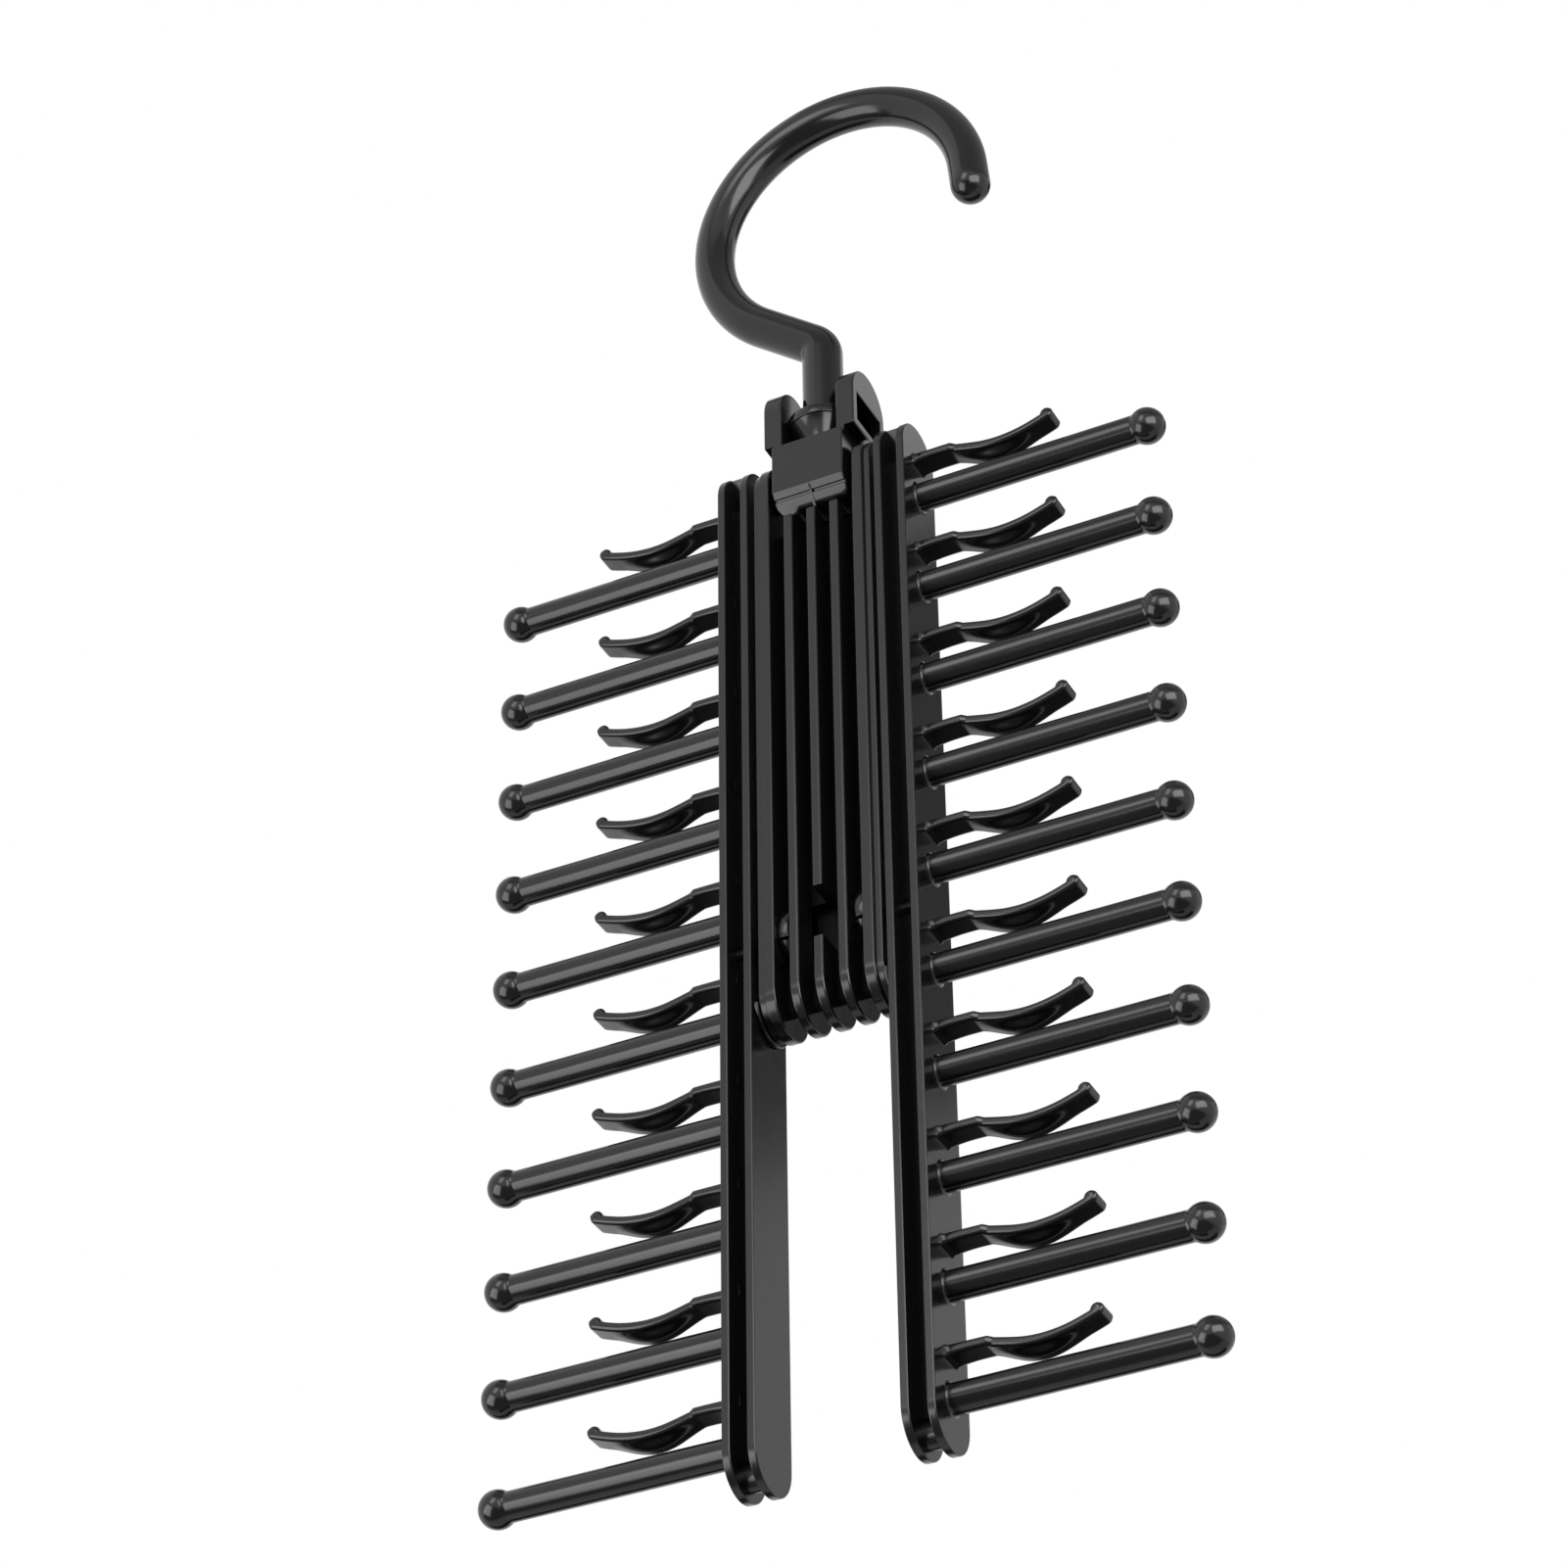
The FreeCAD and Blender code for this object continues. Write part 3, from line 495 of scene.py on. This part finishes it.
def make_clip(side, sign, number):
    """Bar swept along the clip's line: line + across * Y + up * normal, with rounded sides.

    The root is thicker and reaches further to the front than the finger, and a bead stands on the tip. The
    underside is lowered by keel * (1 - (distance from the keel's middle / half its length)^2)^2, times a
    smooth step from the front to the back.
    """
    thick, back, soft = 0.92, 2.85, 0.75
    bead, lift, tip_narrow = 1.3, 0.38, 0.5
    root_extra, root_end, root_length = 0.6, 9.0, 6.0
    flare_size, flare_length = 0.4, 0.5
    cut_back, cut_start, cut_length = 0.6, 11.3, 0.9
    keel, keel_middle, keel_half, keel_front, keel_blend = 1.4, 20.3, 9.2, -1.7, 2.6
    line = smooth_line(CLIP_LINE, 110)
    way = np.gradient(line, axis=0)
    way /= np.linalg.norm(way, axis=1, keepdims=True)
    length = np.concatenate([[0.0], np.cumsum(np.linalg.norm(np.diff(line, axis=0), axis=1))])
    left = length[-1] - length
    cap = arc(0, 90, 9)[1:]
    line = np.concatenate([line, line[-1] + bead * np.sin(cap)[:, None] * way[-1]])
    way = np.concatenate([way, np.tile(way[-1], (len(cap), 1))])
    above = np.maximum(thick, lift + np.sqrt(np.clip(bead ** 2 - left ** 2, 0, None)))
    above = np.concatenate([above, lift + bead * np.cos(cap)])
    below = np.concatenate([np.full(len(left), thick), bead * np.cos(cap) - lift])
    below = below + root_extra * np.clip((root_end - line[:, 0]) / root_length, 0, 1) ** 2
    root = np.clip((KNUCKLE + line[:, 0] - RAIL_OUTER) / flare_length, 0, 1)
    flare = flare_size * (1 - np.sqrt(1 - (1 - root) ** 2))
    front = back - cut_back * np.clip((line[:, 0] - cut_start) / cut_length, 0, 1)
    narrow = np.concatenate([np.zeros(len(left)), tip_narrow * (1 - np.cos(cap))])
    wide = ((front + back) / 2 + flare - narrow)[:, None]
    middle, half = (above - below)[:, None] / 2, (above + below)[:, None] / 2 + flare[:, None]
    corner = np.minimum(soft, 0.9 * half)
    turn = arc(0, 90, 7)
    quarter = np.stack([wide - corner * (1 - np.cos(turn)), half - corner * (1 - np.sin(turn))], -1)
    under = (wide - corner) * np.linspace(-1, 1, 19)[1:-1]
    under = np.stack([under, np.broadcast_to(-half, under.shape)], -1)
    top = [quarter, quarter[:, ::-1] * [-1, 1]]
    ring = np.concatenate(top + [quarter * [-1, -1], under, quarter[:, ::-1] * [1, -1]], 1)
    ring[..., 0] += (back - front)[:, None] / 2
    along = np.clip(1 - ((line[:, 0, None] - keel_middle) / keel_half) ** 2, 0, None) ** 2
    step = np.clip((ring[..., 0] - keel_front) / keel_blend, 0, 1)
    low = np.clip(-ring[..., 1] / half, 0, 1)
    up = ring[..., 1] + middle - keel * low * along * step ** 2 * (3 - 2 * step)
    normal = np.stack([-way[:, 1], way[:, 0]], -1)
    x = KNUCKLE + line[:, 0, None] + up * normal[:, 0, None]
    z = line[:, 1, None] + up * normal[:, 1, None] + FIRST_PEG - PEG_PITCH * number + CLIP_RISE
    shell = Shell()
    shell.add(capped(np.stack([sign * x, ring[..., 0], z], -1)), round_columns=True)
    return shell.finish("%s_clip_finger_%02d" % (side, number + 1))


# Bracket: block, ears and deck.
def spread(outline, centre, angle):
    """Reach from a centre to a convex outline along each angle: the least positive edge crossing."""
    start, end = outline - centre, np.roll(outline, -1, 0) - centre
    normal = np.stack([end[:, 1] - start[:, 1], start[:, 0] - end[:, 0]], -1)
    facing = normal @ np.stack([np.cos(angle), np.sin(angle)])
    level = (normal * start).sum(-1)[:, None]
    with np.errstate(divide="ignore"):
        return np.where(facing > 1e-9, level / facing, np.inf).min(0)


def corner_angles(centre, *outlines):
    """The directions of all corners of some outlines, in order, plus even steps between."""
    corners = np.concatenate(outlines) - centre
    every = np.concatenate([np.arctan2(corners[:, 1], corners[:, 0]), arc(-180, 180, 49)[:-1]])
    return np.unique(np.round(every, 5))


def slab(shell, outline, centre, columns, others=()):
    """Rings of convex outlines seen from a centre: centre + reach * direction at each x.

    Each column is (x, inset, which outline), and with no outline its ring is the centre itself.
    """
    outlines = [np.asarray(item, float) for item in (outline, *others)]
    angle = corner_angles(np.asarray(centre), *outlines)
    way = np.stack([np.cos(angle), np.sin(angle)], -1)
    rings = []
    for x, inset, which in columns:
        reach = np.zeros_like(angle)
        if which is not None:
            shape = outlines[which]
            middle = shape.mean(0)
            box = np.ptp(shape, axis=0)
            shrunk = middle + (shape - middle) * (1 - 2 * inset / box)
            reach = spread(shrunk, centre, angle)
        points = centre + reach[:, None] * way
        rings.append(np.column_stack([np.full(len(angle), x), points]))
    shell.add(np.stack(rings, 1), round_rows=True)


def soft_edge(x, inward, radius, steps=4):
    """Columns over one rounded rim, from the face at x to the side; inward is the way into the solid."""
    hold = radius * 1.2
    turn = arc(90, 0, steps + 1)
    bend = np.stack([x + inward * radius * (1 - np.sin(turn)), radius * (1 - np.cos(turn))], -1)
    return [(x, hold, 0)] + [(along, inset, 0) for along, inset in bend] + [(x + inward * hold, 0.0, 0)]


def ear_outline(half, foot, centre, steps=25):
    """Upright tab with a half-round top in (y, z)."""
    angle = arc(0, 180, steps)
    top = np.stack([half * np.cos(angle), centre + half * np.sin(angle)], -1)
    return np.concatenate([[(-half, foot), (half, foot)], top])


SLOPE_TOP = np.array([8.6, BRACKET_FOOT + 5.5])
SLOPE_FOOT = np.array([5.85, BRACKET_FOOT + 1.75])


def on_slope(height):
    """Point (y, z) of the block's sloping lower front at a height, past its foot too."""
    share = (SLOPE_TOP[1] - height) / (SLOPE_TOP[1] - SLOPE_FOOT[1])
    return SLOPE_TOP + np.multiply.outer(share, SLOPE_FOOT - SLOPE_TOP)


def make_block():
    """Block in rings along X: an upright outline in (y, z) whose lower front and back slope in.

    A fine groove crosses the slope, and its rounded foot drops to a lobe at the left and rises at both ends.
    Near both ends the outline is drawn in towards its middle, which rounds the block's edges.
    """
    wide, deep, groove = 0.6, 0.7, BRACKET_FOOT + 4.0
    soft, width, inner_step, round_in, round_up = 0.3, 7.9, 2.0, 0.8, 0.7
    foot_line = np.array([
        (-7.9, 1.1), (-7.82, 0.8), (-7.6, 0.5), (-7.2, -0.1), (-6.7, -0.7), (-6.2, -1.0), (-5.6, -1.1),
        (-4.6, -1.1), (-4.0, -0.95), (-3.6, -0.6), (-3.3, -0.2), (-3.0, 0.0), (6.6, 0.0), (7.3, 0.2),
        (7.6, 0.4), (7.82, 0.6), (7.9, 0.8),
    ])
    x, foot = foot_line[:, 0], SLOPE_FOOT[1] + foot_line[:, 1]
    bend, corner = on_slope(foot), on_slope(foot + round_up)
    turn = np.linspace(0, 1, 9)[:, None, None]
    curve = (1 - turn) ** 2 * (bend - [round_in, 0]) + 2 * turn * (1 - turn) * bend + turn ** 2 * corner
    into = np.array([SLOPE_FOOT[1] - SLOPE_TOP[1], SLOPE_TOP[0] - SLOPE_FOOT[0]])
    into = deep * into / np.hypot(*into)
    heights = groove + wide * np.array([-0.5, -0.25, 0.25, 0.5])
    line = on_slope(heights) + np.array([0, 1, 1, 0])[:, None] * into
    fixed = np.concatenate([line, [SLOPE_TOP, (SLOPE_TOP[0], BLOCK_TOP)]])
    fixed = np.broadcast_to(fixed[:, None], (len(fixed), len(x), 2))
    under_z = np.stack([np.full(len(x), BRACKET_FOOT), foot])
    under = np.stack([np.full(under_z.shape, inner_step), under_z], -1)
    side = np.concatenate([under, curve, fixed]).transpose(1, 0, 2)
    outline = np.concatenate([side, side[:, ::-1] * [-1, 1]], 1)
    inset = soft - np.sqrt(soft ** 2 - np.clip(soft - (width - np.abs(x)), 0, soft) ** 2)
    middle = np.array([0.0, (BRACKET_FOOT + BLOCK_TOP) / 2])
    half_size = np.array([SLOPE_TOP[0], (BLOCK_TOP - BRACKET_FOOT) / 2])
    shrunk = middle + (outline - middle) * (1 - inset[:, None, None] / half_size)
    rings = np.concatenate([np.broadcast_to(x[:, None, None], shrunk.shape[:2] + (1,)), shrunk], -1)
    count = outline.shape[1]
    faces = grid_faces(len(x), count, 0, round_columns=True).tolist()
    ends = [list(range(count)), list(range((len(x) - 1) * count, len(x) * count))]
    return put_mesh("bracket_block", rings.reshape(-1, 3), faces + ends, crease=10)


def make_seam():
    """Fine upright mould seam: a thin bar swept down the block's slope, wider near its pointed foot."""
    half_wide, proud, sunk, middle = 0.28, 0.22, 0.3, 0.35
    height = BRACKET_FOOT + np.array([5.35, 4.9, 3.5, 1.6, 0.6])
    grow = np.array([0.2, 1.0, 1.0, 1.6, 0.1])[:, None]
    across = half_wide * np.array([-1, -0.6, 0.6, 1])
    out = np.array([-sunk, proud, proud, -sunk])
    x = middle + across * grow
    y = -(on_slope(height)[:, :1] + out * np.where(out > 0, grow, 1.0))
    z = np.broadcast_to(height[:, None], x.shape)
    shell = Shell()
    shell.add(capped(np.stack([x, y, z], -1)), round_columns=True)
    return shell.finish("bracket_seam")


def make_ear(side, sign):
    """Ear: an inner plate that reaches the block, and an outer plate with a pocket sunk into its face."""
    inner, joint, outer, soft, lip = 6.1, 7.9, 10.1, 0.3, 0.15
    inner_foot, outer_foot = BLOCK_TOP - 0.5, BLOCK_TOP + 1.3
    pocket_depth, pocket_half = 2.2, 5.5
    pocket_foot, pocket_top = BRACKET_FOOT + 20.6, BRACKET_FOOT + 27.8
    pocket = np.array([(-pocket_half, pocket_foot), (pocket_half, pocket_foot),
                       (pocket_half, pocket_top), (-pocket_half, pocket_top)])
    centre = pocket.mean(0)
    shell = Shell()
    plate_shape = ear_outline(HALF_DEPTH, inner_foot, EAR_CENTRE)
    columns = [(sign * inner, 0.0, None)] + soft_edge(sign * inner, sign, soft)
    slab(shell, plate_shape, centre, columns + [(sign * joint, 0.0, 0), (sign * joint, 0.0, None)])
    face_shape = ear_outline(HALF_DEPTH, outer_foot, EAR_CENTRE)
    columns = [(sign * joint, 0.0, None), (sign * joint, 0.0, 0)] + soft_edge(sign * outer, -sign, soft)[::-1]
    columns += [(sign * outer, -lip, 1), (sign * (outer - lip), 0.0, 1)]
    columns += [(sign * (outer - pocket_depth), 0.0, 1), (sign * (outer - pocket_depth), 0.0, None)]
    slab(shell, face_shape, centre, columns, others=(pocket,))
    return shell.finish(side + "_ear")


def make_deck():
    """Round deck with a hole for the stem and a skirt round the cone, turned from an (r, z) profile."""
    hole, edge, soft = 4.3, 7.6, 0.2
    turn = arc(0, 90, 4)
    skirt_foot = DECK_BOTTOM - 5.6
    skirt = np.array([(hole, DECK_TOP), (hole, DECK_BOTTOM), (5.9, DECK_BOTTOM), (4.3, DECK_BOTTOM - 3.3),
                      (4.3, skirt_foot), (4.6, skirt_foot), (4.6, DECK_BOTTOM - 4.3), (7.2, DECK_BOTTOM)])
    lower = np.stack([edge - soft * (1 - np.sin(turn)), DECK_BOTTOM + soft * (1 - np.cos(turn))], -1)
    upper = np.stack([edge - soft * (1 - np.cos(turn)), DECK_TOP - soft * (1 - np.sin(turn))], -1)
    shell = Shell()
    turned_upright(shell, np.concatenate([skirt, lower, upper, skirt[:1]]))
    return shell.finish("bracket_deck")


def both(make):
    """The right-hand and the left-hand piece of a pair."""
    return [make(side, sign) for side, sign in SIDES.items()]


# All pieces on their bodies.
place(make_hook(), "hook_body", "hook", "hook")
place(make_cone(), "hook_body", "frame", "hook_retainer")
for piece in [make_block(), make_seam(), *both(make_ear), make_deck()]:
    place(piece, "frame_body", "frame", "bracket")
cheeks = both(make_cheek)
ribs = [make_rib("right_rib", RIB_X), make_rib("left_rib", -RIB_X), make_notched_rib()]
for piece in [*cheeks, *ribs, make_core(), *both(make_rub_pad)]:
    place(piece, "frame_body", "frame", "centre_bar")
for side, sign in SIDES.items():
    rail_body = side + "_rail_body"
    place(make_rail(side, sign), rail_body, "rail", side + "_rail")
    place(make_snap(side, sign), rail_body, "rail", side + "_pivot_pin")
    for number in range(PEG_COUNT):
        peg_node, clip_node = ("%s_%s_%02d" % (side, kind, number + 1) for kind in ("peg", "clip"))
        place(make_peg(side, sign, number), rail_body, "peg", peg_node)
        place(make_clip(side, sign, number), clip_node + "_body", "clip", clip_node)


# Materials.
class Sock:
    """Wraps a shader socket so that expressions on values add their Math nodes."""

    def __init__(self, tree, socket):
        self.tree = tree
        self.socket = socket

    def math(self, operation, *values):
        """A Math node on sockets and numbers, in order."""
        node = self.tree.nodes.new("ShaderNodeMath")
        node.operation = operation
        for place_in, value in zip(node.inputs, values):
            if isinstance(value, Sock):
                self.tree.links.new(value.socket, place_in)
            else:
                place_in.default_value = value
        return Sock(self.tree, node.outputs[0])

    def __add__(self, other):
        return self.math("ADD", self, other)

    __radd__ = __add__

    def __mul__(self, other):
        return self.math("MULTIPLY", self, other)

    __rmul__ = __mul__

    def __sub__(self, other):
        return self.math("SUBTRACT", self, other)

    def __rsub__(self, other):
        return self.math("SUBTRACT", other, self)


class Nodes:
    """One node tree, of a material or of the world."""

    def __init__(self, owner):
        owner.use_nodes = True
        self.tree = owner.node_tree
        self.shader = self.tree.nodes.get("Principled BSDF")

    def add(self, kind, output=0, settings=None, **values):
        """Makes any node: its settings first, then its sockets by identifier. Gives one of its outputs."""
        node = self.tree.nodes.new("ShaderNode" + kind)
        for word, value in (settings or {}).items():
            setattr(node, word, value)
        inputs = {socket.identifier: socket for socket in node.inputs}
        for word, value in values.items():
            self.feed(inputs[word], value)
        return Sock(self.tree, node.outputs[output])

    def mix(self, factor, first, second):
        """Mixes two colours, from the third output of a Mix node."""
        return self.add("Mix", 2, {"data_type": "RGBA"}, Factor_Float=factor, A_Color=first, B_Color=second)

    def feed(self, socket, value):
        """Links a socket to another, or sets it."""
        if isinstance(value, Sock):
            self.tree.links.new(value.socket, socket)
        else:
            socket.default_value = value


def gloss_plastic(name, black=0.0035, rough=0.2, ripple=0.02, shine=0.5):
    """Black moulded plastic: faint flow mottling in the black, uneven gloss and a slight moulding ripple."""
    material = bpy.data.materials.new(name)
    nodes = Nodes(material)
    shader = nodes.shader.inputs
    where = nodes.add("TexCoord", output="Object")
    flow = nodes.add("TexNoise", Vector=where, Scale=45.0, Detail=3.0, Roughness=0.55)
    haze = nodes.add("TexNoise", Vector=where, Scale=260.0, Detail=4.0, Roughness=0.6)
    dark, cool, light = 0.8 * black, 0.82 * black, 1.25 * black
    nodes.feed(shader["Base Color"], nodes.mix(flow, (dark, dark, cool, 1), (light, light, light, 1)))
    nodes.feed(shader["Roughness"], rough * 0.8 + haze * (rough * 0.4))
    nodes.feed(shader["IOR"], 1.5)
    nodes.feed(shader["Specular IOR Level"], shine)
    bump = nodes.add("Bump", Height=flow * 0.9 + haze * 0.1, Strength=ripple, Distance=0.001)
    nodes.feed(shader["Normal"], bump)
    return material


FINISH = {
    "hook": gloss_plastic("hook_black", rough=0.17),
    "frame": gloss_plastic("frame_black", rough=0.18),
    "rail": gloss_plastic("rail_black", rough=0.2),
    "peg": gloss_plastic("peg_black", rough=0.18),
    "clip": gloss_plastic("clip_black", rough=0.18),
}
for piece, slot_name in pieces:
    piece.data.materials.clear()
    piece.data.materials.append(FINISH[slot_name])
# The core takes a duller, less shiny copy of the black plastic: painted shade for the deep recess between the
# ribs.
bpy.data.objects["bar_core"].data.materials[0] = gloss_plastic("recess_shade_black", rough=0.5, shine=0.1)
for name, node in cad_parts.items():
    if not node.hide_render:
        node.data.materials.clear()
        node.data.materials.append(FINISH["frame"])


# Camera: fitted to the photograph's peg ends.
RIGHT = Vector((0.89583, 0.44425, -0.01136))
UP = Vector((0.26646, -0.51651, 0.81376))
BACK = Vector((0.35564, -0.73203, -0.58108))
EYE = Vector((315.45, -670.36, -698.93)) * MM
camera_data = bpy.data.cameras.new("camera")
camera_data.sensor_width = 36.0
camera_data.lens = 107.93
camera_data.clip_start = 0.01
camera = bpy.data.objects.new("camera", camera_data)
bpy.context.collection.objects.link(camera)
camera.matrix_world = Matrix((
    (RIGHT.x, UP.x, BACK.x, EYE.x),
    (RIGHT.y, UP.y, BACK.y, EYE.y),
    (RIGHT.z, UP.z, BACK.z, EYE.z),
    (0, 0, 0, 1),
))
bpy.context.scene.camera = camera


# Light: a white room with three soft panels, set out as seen from the hook.
HOOK_MIDDLE = Vector((0, 0, -0.02))


def panel(name, way, distance, up, width, height, radiance):
    """Soft panel that faces the hook from a direction, with the power for the brightness asked."""
    lamp = bpy.data.lights.new(name, "AREA")
    lamp.shape = "RECTANGLE"
    lamp.size = width
    lamp.size_y = height
    lamp.energy = radiance * math.pi * width * height
    lamp_object = bpy.data.objects.new(name, lamp)
    bpy.context.collection.objects.link(lamp_object)
    back = way.normalized()
    upright = (up - up.dot(back) * back).normalized()
    turn = Matrix((upright.cross(back), upright, back)).transposed().to_4x4()
    lamp_object.matrix_world = Matrix.Translation(HOOK_MIDDLE + distance * back) @ turn
    lamp_object.visible_camera = False


panel("left_panel", Vector((-0.485, -0.547, -0.497)), 0.7, Vector((0.362, -0.766, 0.531)), 0.42, 0.50, 3.5)
panel("front_panel", Vector((-0.118, -0.963, 0.242)), 1.0, UP, 0.39, 0.57, 2.9)
panel("right_panel", Vector((0.736, -0.663, -0.139)), 0.6, UP, 0.58, 0.39, 4.3)


def shows_background(nodes):
    """1 for rays from the camera, off a shiny surface or through glass, and 0 for rays that gather light."""
    kinds = ("Is Camera Ray", "Is Glossy Ray", "Is Transmission Ray")
    direct, shiny, clear = (nodes.add("LightPath", output=kind) for kind in kinds)
    return direct.math("MAXIMUM", direct.math("MAXIMUM", direct, shiny), clear)


WHITE = (1, 1, 1, 1)
world = bpy.data.worlds.new("room")
bpy.context.scene.world = world
sky = Nodes(world)
sky.tree.nodes.clear()
room = sky.add("Background", Color=WHITE, Strength=0.25)
backdrop = sky.add("Background", Color=WHITE, Strength=1.0)
surface = sky.add("MixShader", Fac=shows_background(sky), Shader=room, Shader_001=backdrop)
sky.feed(sky.tree.nodes.new("ShaderNodeOutputWorld").inputs["Surface"], surface)


# Stage: a pale floor far below, and a ceiling, two mats and two upright cards that only reflections show. The
# dark mat and the dark card are painted shade in those reflections, and the glowing ceiling and front mat are
# painted light.
def card(name, low, high, grey, glow=0.0, glow_color=None):
    """Flat rectangle between two corners at one height or one depth, of one grey, which may glow."""
    near, far = (low[1], low[2]), (high[1], high[2])
    corners = [(low[0], *near), (high[0], *near), (high[0], *far), (low[0], *far)]
    mesh = bpy.data.meshes.new(name)
    mesh.from_pydata(corners, [], [(0, 1, 2, 3)])
    flat = bpy.data.objects.new(name, mesh)
    bpy.context.collection.objects.link(flat)
    material = bpy.data.materials.new(name)
    nodes = Nodes(material)
    nodes.feed(nodes.shader.inputs["Base Color"], (grey, grey, grey, 1))
    nodes.feed(nodes.shader.inputs["Roughness"], 0.9)
    nodes.feed(nodes.shader.inputs["Emission Color"], glow_color(nodes) if glow_color else WHITE)
    nodes.feed(nodes.shader.inputs["Emission Strength"], glow)
    mesh.materials.append(material)
    return flat


card("floor", (-3, -3, -1.6), (3, 3, -1.6), 0.85, 0.5, shows_background)
for hidden in (
    # Painted light: a grey card that glows, no lamp, seen in reflections from above.
    card("ceiling", (-0.38, -1.1, 0.9), (1.4, 0.9, 0.9), 0.3, 0.35),
    # Painted shade: a dark sheet below and behind, reflected in the undersides.
    card("mat", (-2.2, 1.0, -1.59), (1.2, 2.9, -1.59), 0.1),
    # Painted light: a pale sheet below and in front with a faint glow, reflected in faces that look down and
    # forward.
    card("front_mat", (-4, -6, -1.59), (2, -0.15, -1.59), 0.7, 0.04),
    # Painted shade: a dark card behind and to the right, reflected in the rails' outer faces.
    card("dark_card", (0.1, 0.5, 0.08), (0.45, 0.5, 0.335), 0.15),
    card("pale_card", (0.1, 0.5, -0.15), (0.45, 0.5, 0.08), 0.9),
):
    hidden.visible_camera = False
    hidden.visible_diffuse = False
    hidden.visible_shadow = False

bpy.context.scene.view_settings.view_transform = "Standard"
